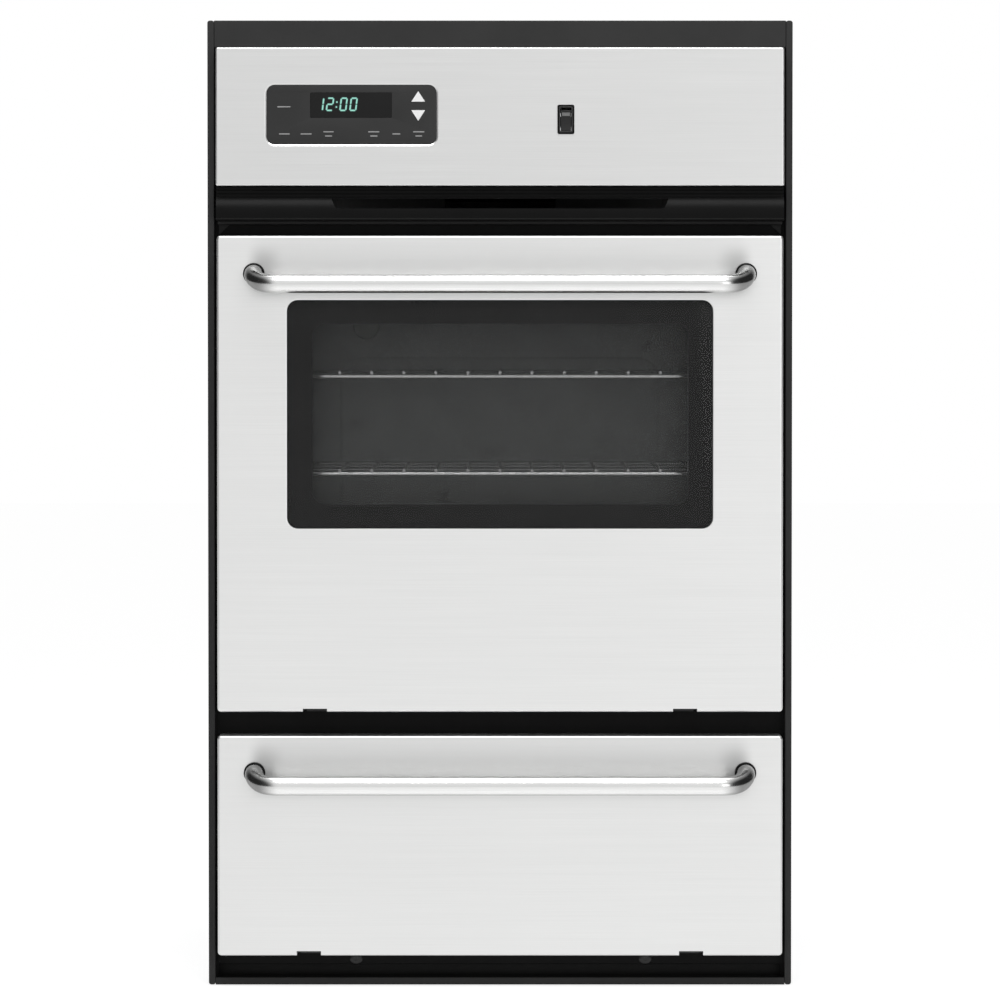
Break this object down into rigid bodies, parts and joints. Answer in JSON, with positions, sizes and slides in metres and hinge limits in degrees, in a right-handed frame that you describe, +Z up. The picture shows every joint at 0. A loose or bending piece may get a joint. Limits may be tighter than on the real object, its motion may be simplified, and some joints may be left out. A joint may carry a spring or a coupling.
{
  "type": "built-in gas wall oven",
  "caption": "Narrow built-in gas wall oven: drop-down oven door with window over a drop-down broiler door, tube handles, touch panel, rocker switch, wire racks that slide.",
  "frame": {"origin": "centre of the bounding box at the base the oven stands on", "axes": "+Z up, the doors face -Y, +X to the viewer's right"},
  "size_m": [0.606, 0.667, 1.0011],
  "materials": {
    "stainless": "horizontal brushing, satin",
    "handle_steel": "bright drawn tube",
    "galvanised": "zinc coated sheet",
    "frame_black": "semi-gloss black",
    "trim_charcoal": "satin charcoal",
    "black_plastic": "fine satin",
    "keypad_film": "satin film",
    "dark_glass": "tinted, gloss",
    "clear_glass": "clear",
    "enamel": "speckled porcelain enamel",
    "insulation": "mineral fibre",
    "chrome_wire": "bright plating",
    "cast_metal": "as cast",
    "brass": "machined",
    "ceramic": "unglazed",
    "seal_fibre": "woven glass fibre"
  },
  "bodies": {
    "chassis": {"side_panel_left": "galvanised", "side_panel_right": "galvanised", "rear_cover": "galvanised", "top_cover": "galvanised", "base_pan": "galvanised", "face_frame": "frame_black", "side_trim_left": "trim_charcoal", "side_trim_right": "trim_charcoal", "top_trim": "trim_charcoal", "bottom_trim": "trim_charcoal", "vent_trim": "black_plastic", "control_panel": "stainless", "control_overlay": "keypad_film", "display_lens": "dark_glass", "control_board": "black_plastic", "switch_housing": "black_plastic", "oven_liner": "enamel", "broiler_liner": "enamel", "insulation_blanket": "insulation", "oven_floor": "enamel", "oven_burner": "cast_metal", "burner_support": "galvanised", "flame_spreader": "galvanised", "igniter": "ceramic", "gas_valve": "cast_metal", "gas_pipe": "brass", "flue_duct": "galvanised", "lamp_holder": "ceramic", "lamp_bulb": "clear_glass", "temperature_sensor": "chrome_wire", "oven_gasket": "seal_fibre", "rack_guide_left": "chrome_wire", "rack_guide_right": "chrome_wire", "oven_hinge_bracket_left": "frame_black", "oven_hinge_bracket_right": "frame_black", "broiler_hinge_bracket_left": "frame_black", "broiler_hinge_bracket_right": "frame_black"},
    "light_switch": {"switch_rocker": "black_plastic"},
    "oven_door": {"oven_door_skin": "stainless", "oven_door_glass": "dark_glass", "oven_door_inner_glass": "clear_glass", "oven_door_liner": "enamel", "oven_door_filling": "insulation", "oven_door_handle": "handle_steel", "oven_handle_grommet_left": "black_plastic", "oven_handle_grommet_right": "black_plastic", "oven_hinge_arm_left": "galvanised", "oven_hinge_arm_right": "galvanised"},
    "broiler_door": {"broiler_door_skin": "stainless", "broiler_door_liner": "enamel", "broiler_door_handle": "handle_steel", "broiler_handle_grommet_left": "black_plastic", "broiler_handle_grommet_right": "black_plastic", "broiler_hinge_arm_left": "galvanised", "broiler_hinge_arm_right": "galvanised"},
    "upper_rack": {"upper_rack": "chrome_wire"},
    "lower_rack": {"lower_rack": "chrome_wire"},
    "broiler_tray": {"broiler_pan": "enamel", "broiler_grid": "enamel"}
  },
  "joints": [
    {"name": "oven_door_hinge", "type": "hinge", "parent": "chassis", "child": "oven_door", "pos_m": [0, -0.253, 0.2968], "axis": [1, 0, 0], "range_deg": [0, 90], "stiffness_Nm_per_rad": 8, "springref_deg": -22.92},
    {"name": "broiler_door_hinge", "type": "hinge", "parent": "chassis", "child": "broiler_door", "pos_m": [0, -0.253, 0.0439], "axis": [1, 0, 0], "range_deg": [0, 90], "stiffness_Nm_per_rad": 1.5, "springref_deg": -45.84},
    {"name": "light_switch_rock", "type": "hinge", "parent": "chassis", "child": "light_switch", "pos_m": [0.068, -0.2745, 0.8981], "axis": [-1, 0, 0], "range_deg": [0, 20]},
    {"name": "upper_rack_slide", "type": "slide", "parent": "chassis", "child": "upper_rack", "axis": [0, -1, 0], "range_m": [0, 0.3]},
    {"name": "lower_rack_slide", "type": "slide", "parent": "chassis", "child": "lower_rack", "axis": [0, -1, 0], "range_m": [0, 0.3]},
    {"name": "broiler_tray_slide", "type": "slide", "parent": "chassis", "child": "broiler_tray", "axis": [0, -1, 0], "range_m": [0, 0.252]}
  ],
  "couplings": [
    {"joint": "upper_rack_slide", "follows": "oven_door_hinge", "m_per_rad": 0.19},
    {"joint": "lower_rack_slide", "follows": "oven_door_hinge", "m_per_rad": 0.19},
    {"joint": "broiler_tray_slide", "follows": "broiler_door_hinge", "m_per_rad": 0.16}
  ]
}
